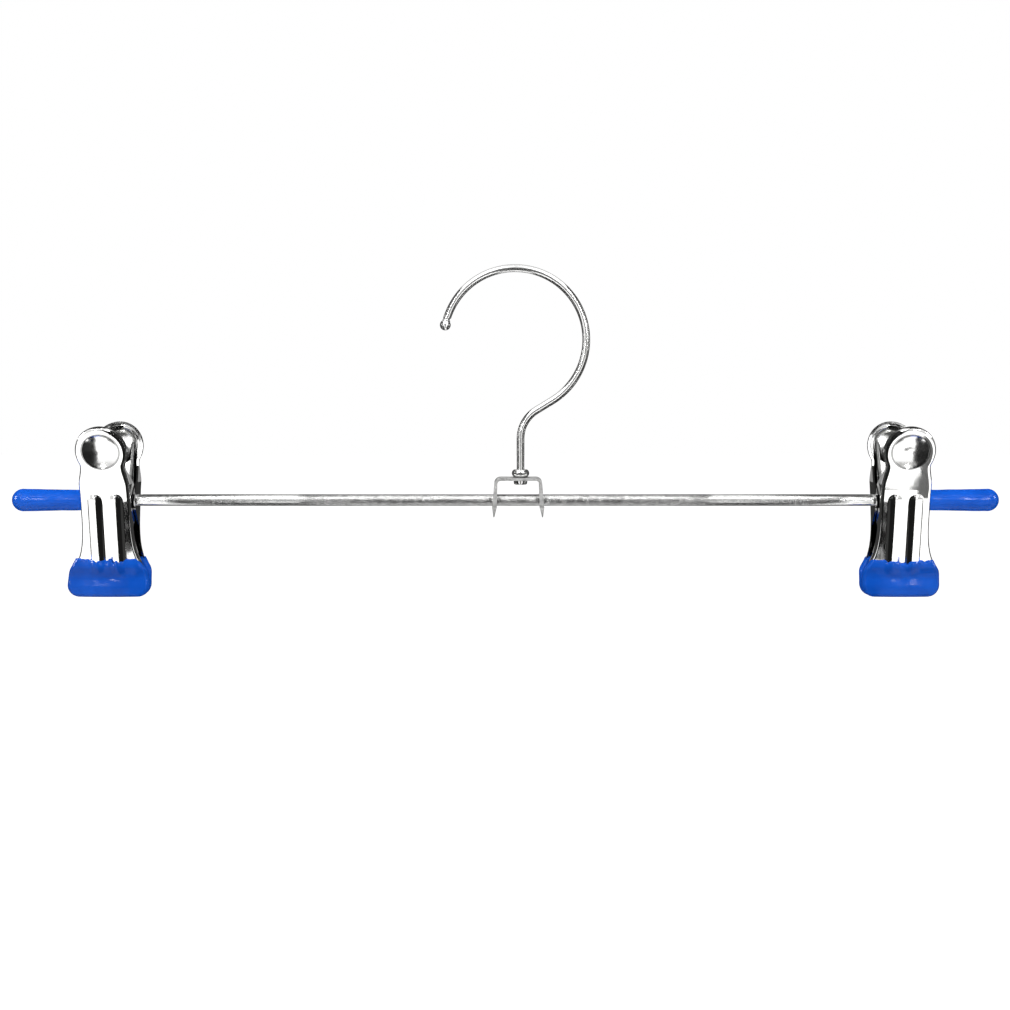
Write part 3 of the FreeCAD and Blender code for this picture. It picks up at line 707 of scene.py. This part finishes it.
def bar_finish():
    """Zinc plating on a drawn bar: lines and pits, with painted shade and a painted dark reflection streak in
    the middle, bright near the ends.
    """
    finish = Finish("plated_bar")
    finish.set(Metallic=0.9)
    lines = finish.grain(scale=900, detail=4, stretch=(0.04, 1.0, 1.0))
    mottle = finish.grain(scale=800, detail=6, rough=0.65, stretch=(0.6, 1.0, 1.0))
    pits = finish.grain(scale=2400, detail=3)
    plating = finish.greys(mottle, (0.3, 0.62), (0.5, 0.82), (0.7, 0.94))
    # Painted shade: the middle of the bar is darker than its ends, standing in for the dark it reflects; the
    # same stretch gets stronger mottled relief
    mottled_and_shaded_middle = finish.ranged(finish.distance(BAR_MIDDLE), 1.0, MIDDLE_MASK_LEAST, BAR_SHADED_MOTTLE_FROM * MM, BAR_SHADED_MOTTLE_TO * MM)
    painted_middle_shade = finish.ranged(mottled_and_shaded_middle, 1.0, MIDDLE_PAINTED_SHADE, MIDDLE_MASK_LEAST, 1.0)
    axis_z = BAR_MIDDLE.z
    height = finish.height()
    # Painted reflection: a dark speckled streak along the front at the axis height, standing in for the dark
    # the bar reflects
    rise = finish.ranged(height, 0.0, 1.0, axis_z + PAINTED_STREAK_LOW * MM, axis_z + PAINTED_STREAK_FULL_LOW * MM)
    fall = finish.ranged(height, 1.0, 0.0, axis_z + PAINTED_STREAK_FULL_HIGH * MM, axis_z + PAINTED_STREAK_HIGH * MM)
    painted_specks = finish.ranged(mottle, 1.0, 0.35, 0.45, 0.6)
    streak = finish.joined("MULTIPLY", finish.joined("MINIMUM", rise, fall), painted_specks)
    painted_streak_shade = finish.ranged(finish.joined("MULTIPLY", streak, mottled_and_shaded_middle), 1.0, PAINTED_STREAK_SHADE, 0.0, 1.0)
    finish.drive("Base Color", finish.shaded(finish.shaded(plating, painted_middle_shade), painted_streak_shade))
    finish.drive("Roughness", finish.ranged(lines, 0.14, 0.24))
    finish.bump((lines, 0.02), (finish.joined("MULTIPLY", mottle, mottled_and_shaded_middle), 0.4), (pits, 0.04))
    return finish.material


def bracket_finish():
    """Plated strip steel with rolling marks along its width, painted shade in its corners and where the
    collar sits on it, and darker towards the leg tips.
    """
    finish = Finish("plated_strip")
    finish.set(Metallic=0.85)
    mottle = finish.grain(scale=500, detail=5, rough=0.6)
    marks = finish.grain(scale=1200, detail=3, stretch=(1.0, 0.1, 1.0))
    plating = finish.greys(mottle, (0.3, 0.42), (0.5, 0.62), (0.7, 0.78))
    # Painted shade: darker in narrow corners and where the collar sits on the strip
    corners = finish.shelter(reach=0.004, low=0.3, high=0.85, dark=0.25, light=1.0)
    # Darker towards the leg tips
    low = BAR_MIDDLE.z - LEG_TIP_DROP * MM
    tips = finish.ranged(finish.height(), LEG_TIP_SHADE, 1.0, low, low + LEG_TIP_FADE * MM)
    finish.drive("Base Color", finish.shaded(finish.shaded(plating, corners), tips))
    finish.drive("Roughness", finish.ranged(marks, 0.34, 0.5))
    finish.bump((mottle, 0.04), (marks, 0.006))
    return finish.material


def spring_finish():
    """Darker hard-drawn spring wire, with painted shade where the jaws close in round it."""
    finish = Finish("spring_wire")
    finish.set(Metallic=1.0)
    mottle = finish.grain(scale=700, detail=5, rough=0.6)
    drawn = finish.greys(mottle, (0.3, 0.14), (0.7, 0.24))
    # Painted shade: darker where other parts close in round the spring
    painted_shelter_shade = finish.shelter(reach=0.04, low=0.3, high=0.8, dark=0.15, light=1.0)
    finish.drive("Base Color", finish.shaded(drawn, painted_shelter_shade))
    finish.drive("Roughness", finish.ranged(mottle, 0.25, 0.42))
    finish.bump((mottle, 0.01))
    return finish.material


def vinyl_finish(name, tone):
    """Glossy dipped vinyl: an even blue with soft clouds and faint orange peel."""
    finish = Finish(name)
    finish.set(Specular_IOR_Level=0.14)
    clouds = finish.grain(scale=130, detail=4, rough=0.55)
    peel = finish.grain(scale=650, detail=2)
    stops = [(position, tuple(tone * part for part in blue)) for position, blue in BLUES]
    finish.drive("Base Color", finish.colours(clouds, stops))
    finish.drive("Roughness", finish.ranged(peel, 0.1, 0.18))
    finish.bump((clouds, 0.12), (peel, 0.012))
    return finish.material


def dress(obj, material):
    """Gives every slot of an object one finish."""
    obj.data.materials.clear()
    obj.data.materials.append(material)


# Camera, in millimetres from the middle of the bar
CAMERA_DISTANCE = 660.0
CAMERA_ELEVATION = 5.3
FRAME_PX = 1010
MM_PER_PX = 0.3245
BAR_MIDDLE_PX = (505.4, 500.0)
SENSOR_MM = 36.0
CLIP_NEAR = 0.01
CLIP_FAR = 50.0

# Light and stage, in millimetres from the middle of the bar
FLOOR_DROP = 260.0
FLOOR_TONE = 0.82
FLOOR_GLOW = 0.85
STAGE_HALF = 4000.0
WORLD_LIGHT = 0.36
BACK_BAND = ((0.0, 1.0), (0.35, 1.0), (0.6, 0.5), (1.0, 0.4))
LAMP_SIZE = 700.0
LAMPS = (("key_lamp", (-380.0, -560.0, 800.0), 5.0), ("fill_lamp", (420.0, -560.0, 760.0), 4.0))

# Mats just above the floor
MAT_Z = 2.0 - FLOOR_DROP
MAT_NEAR = -330.0
MAT_FAR = -900.0
MAT_NEAR_HALF = 82.0
MAT_FAR_HALF = 130.0
BAR_HALF = 75.0
BAR_NEAR = -60.0
BAR_TURN = -170.0
REAR_NEAR = 55.0
REAR_MIDDLE_NEAR = 90.0
REAR_FAR = 3900.0
BLACK = 0.01
BAR_MAT_TONE = 0.12
BAR_SHADE_TONE = 0.8
REAR_TONE = 0.08
REAR_MIDDLE_TONE = 0.3
RIGHT_PATCH = ((120.0, -225.0), (180.0, -190.0), (320.0, -190.0), (320.0, -300.0),
               (235.0, -300.0), (235.0, -249.0), (100.0, -236.0))
RIGHT_PATCH_TONE = 0.14

# Cards round each clip, with X from the clip toward the hook
FLAG_X = 16.0
FLAG_NEAR = -14.0
FLAG_TURN = -60.0
FLAG_FAR = -200.0
FLAG_TOP = 40.0
FLAG_DROP = -45.0
UNDER_X = 12.0
UNDER_REAR_X = -15.0
UNDER_BACK = 50.0
UNDER_STEP = -30.0
UNDER_TURN = -110.0
UNDER_FRONT = -190.0
STRIP_X = -6.0
STRIP_Z = -120.0
STRIP_NEAR = -168.0
STRIP_FAR = -262.0
HOOD_OUTER_X = -90.0
HOOD_INNER_X = 60.0
HOOD_BACK = 300.0
HOOD_LOW = -150.0
HOOD_TONE = 0.04
ROOF_X = 24.0
ROOF_Z = 120.0
ROOF_FRONT = -20.0
BROW_X = 2.0
BROW_END_X = -70.0
BROWS = (("brow", ROOF_FRONT, -103.0), ("outer_brow", -127.0, -190.0))
OUTER_WALL_FRONT = 0.0
INNER_WALL_FRONT = -40.0
INNER_GAP_HALF = 12.0

# Bright cards that give each sleeve its gleams, with X from the clip toward the hook
GLEAM_X = -121.0
GLEAM_HALF = 3.0
GLEAM_Y = -400.0
GLEAM_LOW = 40.0
GLEAM_HIGH = 240.0
GLEAM_TONE = 60.0
STREAK_X = -116.0
STREAK_END_X = -97.0
STREAK_HEIGHTS = (60.0, 90.0, 120.0, 210.0)
STREAK_TONE = 16.0
GLINT_X = -330.0
GLINT_NEAR = 0.0
GLINT_FAR = -130.0
GLINT_LOW = 40.0
GLINT_HIGH = 190.0
GLINT_TONE = 26.0

# Screens in front of the hook
HOOK_SHADE_Y = -676.0
HOOK_SHADE_LOW = -70.0
HOOK_SHADE_LOW_HALF = 70.0
HOOK_SHADE_HIGH = 80.0
HOOK_SHADE_HIGH_HALF = 260.0
HOOK_SHADE_TONE = 0.12
STEM_SHADE_X = 40.0
STEM_SIDE_X = 330.0
STEM_FRONT = -400.0
STEM_BACK = 100.0
STEM_LOW = -15.0
STEM_HIGH = 55.0
STEM_SHADE_TONE = 0.45
STEM_SIDE_TONE = 0.55
CAMERA_SHADE_Y = -680.0
CAMERA_SHADE_HALF = 110.0
CAMERA_SHADE_LOW = -250.0
CAMERA_SHADE_HIGH = 263.0
CAMERA_SHADE_TONE = 0.02


def at_bar(x, y, z):
    """A stage point in metres, given from the middle of the bar."""
    return BAR_MIDDLE + Vector((x, y, z)) * MM


def make_camera():
    """The photograph's view: square on, from a little above."""
    data = bpy.data.cameras.new("camera")
    camera = bpy.data.objects.new("camera", data)
    bpy.context.scene.collection.objects.link(camera)
    half_px = FRAME_PX / 2
    data.sensor_width = SENSOR_MM
    data.lens = SENSOR_MM / 2 * CAMERA_DISTANCE / (half_px * MM_PER_PX)
    data.clip_start = CLIP_NEAR
    data.clip_end = CLIP_FAR
    lift = math.radians(CAMERA_ELEVATION)
    across_px, down_px = BAR_MIDDLE_PX
    aim = at_bar((half_px - across_px) * MM_PER_PX, 0.0, (down_px - half_px) * MM_PER_PX)
    back = Vector((0.0, -math.cos(lift), math.sin(lift)))
    camera.location = aim + back * CAMERA_DISTANCE * MM
    camera.rotation_mode = "QUATERNION"
    camera.rotation_quaternion = (-back).to_track_quat("-Z", "Y")
    bpy.context.scene.camera = camera


def make_card(name, corners, brightness):
    """A flat card that shows only in reflections."""
    card = make_piece(name, [at_bar(*corner) for corner in corners], [list(range(len(corners)))])
    material = bpy.data.materials.new(name)
    material.use_nodes = True
    nodes = material.node_tree.nodes
    nodes.clear()
    glow = nodes.new("ShaderNodeEmission")
    glow.inputs["Color"].default_value = (*grey(brightness), 1.0)
    output = nodes.new("ShaderNodeOutputMaterial")
    material.node_tree.links.new(glow.outputs["Emission"], output.inputs["Surface"])
    dress(card, material)
    card.visible_camera = False
    card.visible_diffuse = False
    card.visible_transmission = False
    card.visible_volume_scatter = False
    card.visible_shadow = False


def make_level(name, z, corners, brightness):
    """A level card, from corners in X and Y."""
    make_card(name, [(x, y, z) for x, y in corners], brightness)


def make_wall(name, x, corners, brightness):
    """An upright card that faces sideways, from corners in Y and Z."""
    make_card(name, [(x, y, z) for y, z in corners], brightness)


def make_screen(name, y, corners, brightness):
    """An upright card that faces the front, from corners in X and Z."""
    make_card(name, [(x, y, z) for x, z in corners], brightness)


def box_corners(first, second):
    """The four corners of a rectangle, from two opposite ones."""
    return [first, (second[0], first[1]), second, (first[0], second[1])]


def make_floor():
    """A pale floor that shows white to the camera and in the metal, and keeps soft shadows."""
    corners = box_corners((-STAGE_HALF, -STAGE_HALF), (STAGE_HALF, STAGE_HALF))
    floor = make_piece("floor", [at_bar(x, y, -FLOOR_DROP) for x, y in corners], [[0, 1, 2, 3]])
    material = bpy.data.materials.new("floor")
    material.use_nodes = True
    tree = material.node_tree
    shader = tree.nodes["Principled BSDF"]
    shader.inputs["Base Color"].default_value = (FLOOR_TONE, FLOOR_TONE, FLOOR_TONE, 1.0)
    shader.inputs["Roughness"].default_value = 0.9
    shader.inputs["Specular IOR Level"].default_value = 0.1
    shader.inputs["Emission Color"].default_value = (1.0, 1.0, 1.0, 1.0)
    tree.links.new(seen_directly(tree, FLOOR_GLOW), shader.inputs["Emission Strength"])
    dress(floor, material)


def seen_directly(tree, strength):
    """A strength for camera, glossy and transmission rays, and none for the rays that light the object."""
    path = tree.nodes.new("ShaderNodeLightPath")
    total = path.outputs["Is Camera Ray"]
    for name in ("Is Glossy Ray", "Is Transmission Ray"):
        node = tree.nodes.new("ShaderNodeMath")
        node.operation = "MAXIMUM"
        tree.links.new(total, node.inputs[0])
        tree.links.new(path.outputs[name], node.inputs[1])
        total = node.outputs[0]
    node = tree.nodes.new("ShaderNodeMath")
    node.operation = "MULTIPLY"
    node.inputs[1].default_value = strength
    tree.links.new(total, node.inputs[0])
    return node.outputs[0]


def make_world():
    """A white studio with a dark band round its back wall: bright in reflections, softer as light."""
    world = bpy.data.worlds.new("studio")
    bpy.context.scene.world = world
    world.use_nodes = True
    tree = world.node_tree
    background = tree.nodes["Background"]
    place = tree.nodes.new("ShaderNodeTexCoord")
    parts = tree.nodes.new("ShaderNodeSeparateXYZ")
    tree.links.new(place.outputs["Generated"], parts.inputs["Vector"])
    band = tree.nodes.new("ShaderNodeFloatCurve")
    curve = band.mapping.curves[0]
    for (position, value), point in zip(BACK_BAND, list(curve.points) + [None] * len(BACK_BAND)):
        if point is None:
            curve.points.new(position, value)
        else:
            point.location = (position, value)
    band.mapping.update()
    tree.links.new(parts.outputs["Y"], band.inputs["Value"])
    path = tree.nodes.new("ShaderNodeLightPath")
    shown = tree.nodes.new("ShaderNodeMath")
    shown.operation = "MAXIMUM"
    tree.links.new(band.outputs["Value"], shown.inputs[0])
    tree.links.new(path.outputs["Is Camera Ray"], shown.inputs[1])
    tree.links.new(shown.outputs[0], background.inputs["Color"])
    add = tree.nodes.new("ShaderNodeMath")
    add.operation = "ADD"
    add.inputs[1].default_value = WORLD_LIGHT
    tree.links.new(seen_directly(tree, 1.0 - WORLD_LIGHT), add.inputs[0])
    tree.links.new(add.outputs[0], background.inputs["Strength"])


def make_lamp(name, place, power):
    """A soft lamp that points at the middle of the bar."""
    data = bpy.data.lights.new(name, "AREA")
    data.shape = "DISK"
    data.size = LAMP_SIZE * MM
    data.energy = power
    lamp = bpy.data.objects.new(name, data)
    bpy.context.scene.collection.objects.link(lamp)
    lamp.location = at_bar(*place)
    aim = BAR_MIDDLE - lamp.location
    lamp.rotation_mode = "QUATERNION"
    lamp.rotation_quaternion = aim.to_track_quat("-Z", "Y")


def make_clip_cards(side):
    """The dark cards that one clip's bright metal reflects, and the bright ones in its sleeve."""
    inward = 1 if side == "left" else -1
    clip_x = (clip_place(side).x - BAR_MIDDLE.x) / MM

    def at(reach):
        """The X of a distance from the clip toward the hook."""
        return clip_x + inward * reach

    make_wall(side + "_flag", at(FLAG_X), [
        (FLAG_NEAR, MAT_Z), (FLAG_FAR, MAT_Z), (FLAG_FAR, FLAG_DROP),
        (FLAG_TURN, FLAG_TOP), (FLAG_NEAR, FLAG_TOP)], BLACK)
    under_end = -inward * BAR_HALF
    make_level(side + "_under_mat", MAT_Z, [
        (at(UNDER_REAR_X), UNDER_BACK), (under_end, UNDER_BACK), (under_end, UNDER_FRONT),
        (at(UNDER_X), UNDER_FRONT), (at(UNDER_X), UNDER_TURN), (at(UNDER_REAR_X), UNDER_STEP)], BLACK)
    make_level(side + "_strip_mat", STRIP_Z,
               box_corners((at(STRIP_X), STRIP_NEAR), (at(FLAG_X), STRIP_FAR)), BLACK)
    make_level(side + "_roof", ROOF_Z,
               box_corners((at(HOOD_OUTER_X), ROOF_FRONT), (at(ROOF_X), HOOD_BACK)), HOOD_TONE)
    for name, near, far in BROWS:
        make_level(f"{side}_{name}", ROOF_Z,
                   box_corners((at(BROW_END_X), far), (at(BROW_X), near)), HOOD_TONE)
    for name, reach, front, low, high in (
        ("outer_wall", HOOD_OUTER_X, OUTER_WALL_FRONT, HOOD_LOW, ROOF_Z),
        ("inner_wall", HOOD_INNER_X, INNER_WALL_FRONT, INNER_GAP_HALF, ROOF_Z),
        ("inner_foot", HOOD_INNER_X, INNER_WALL_FRONT, HOOD_LOW, -INNER_GAP_HALF),
    ):
        make_wall(f"{side}_{name}", at(reach), box_corners((front, low), (HOOD_BACK, high)), HOOD_TONE)
    make_screen(side + "_back_wall", HOOD_BACK,
                box_corners((at(HOOD_OUTER_X), MAT_Z), (at(HOOD_INNER_X), ROOF_Z)), HOOD_TONE)
    make_screen(side + "_gleam", GLEAM_Y,
                box_corners((at(GLEAM_X - GLEAM_HALF), GLEAM_LOW), (at(GLEAM_X + GLEAM_HALF), GLEAM_HIGH)),
                GLEAM_TONE)
    streak_ends = (STREAK_X, STREAK_END_X, STREAK_END_X, STREAK_X)
    make_screen(side + "_streak", GLEAM_Y,
                [(at(reach), z) for reach, z in zip(streak_ends, STREAK_HEIGHTS)], STREAK_TONE)
    make_wall(side + "_glint", at(GLINT_X),
              box_corners((GLINT_FAR, GLINT_LOW), (GLINT_NEAR, GLINT_HIGH)), GLINT_TONE)


def make_middle_cards():
    """The cards that the bar and the hook reflect."""
    for name, outward in (("left_rear_mat", -1), ("right_rear_mat", 1)):
        make_level(name, MAT_Z,
                   box_corners((outward * BAR_HALF, REAR_NEAR), (outward * REAR_FAR, REAR_FAR)), REAR_TONE)
    for name, near, far, tone in (("middle_rear_mat", REAR_MIDDLE_NEAR, REAR_FAR, REAR_MIDDLE_TONE),
                                  ("bar_mat", MAT_NEAR, BAR_TURN, BAR_MAT_TONE),
                                  ("bar_shade", BAR_TURN, BAR_NEAR, BAR_SHADE_TONE)):
        make_level(name, MAT_Z, box_corners((-BAR_HALF, near), (BAR_HALF, far)), tone)
    make_level("floor_mat", MAT_Z, [(-MAT_NEAR_HALF, MAT_NEAR), (MAT_NEAR_HALF, MAT_NEAR),
                                    (MAT_FAR_HALF, MAT_FAR), (-MAT_FAR_HALF, MAT_FAR)], BLACK)
    make_level("right_patch", MAT_Z, RIGHT_PATCH, RIGHT_PATCH_TONE)
    make_screen("hook_shade", HOOK_SHADE_Y, [
        (-HOOK_SHADE_LOW_HALF, HOOK_SHADE_LOW), (HOOK_SHADE_LOW_HALF, HOOK_SHADE_LOW),
        (HOOK_SHADE_HIGH_HALF, HOOK_SHADE_HIGH), (-HOOK_SHADE_HIGH_HALF, HOOK_SHADE_HIGH)], HOOK_SHADE_TONE)
    make_screen("stem_shade", STEM_FRONT,
                box_corners((STEM_SHADE_X, STEM_LOW), (STEM_SIDE_X, STEM_HIGH)), STEM_SHADE_TONE)
    make_wall("stem_side", STEM_SIDE_X,
              box_corners((STEM_FRONT, STEM_LOW), (STEM_BACK, STEM_HIGH)), STEM_SIDE_TONE)
    make_screen("camera_shade", CAMERA_SHADE_Y,
                box_corners((-CAMERA_SHADE_HALF, CAMERA_SHADE_LOW), (CAMERA_SHADE_HALF, CAMERA_SHADE_HIGH)),
                CAMERA_SHADE_TONE)


pad_vinyl = vinyl_finish("blue_pad_vinyl", PAD_TONE)
sleeve_vinyl = vinyl_finish("blue_sleeve_vinyl", SLEEVE_TONE)
spring_steel = spring_finish()
for number, (side, face, side_coat, shift, edge_lift, notches) in enumerate(PADS):
    seed = PAD_SEED_STEP * number + PAD_SEED
    dress(make_pad(side, face, seed, side_coat, shift, edge_lift, notches), pad_vinyl)
for number, side in enumerate(SIDES):
    dress(make_sleeve(side, SLEEVE_SEED_STEP * number + SLEEVE_SEED), sleeve_vinyl)
    dress(make_spring(side), spring_steel)
    for face in ("front", "back"):
        dress(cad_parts[f"{side}_{face}_jaw"], chrome_finish(side, face))
for name, finish in (("hook_wire", wire_finish), ("hook_collar", wire_finish),
                     ("swivel_bracket", bracket_finish), ("hanger_bar", bar_finish)):
    dress(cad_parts[name], finish())

make_floor()
make_world()
for name, place, power in LAMPS:
    make_lamp(name, place, power)
for side in SIDES:
    make_clip_cards(side)
make_middle_cards()
make_camera()
bpy.context.scene.view_settings.view_transform = "Standard"
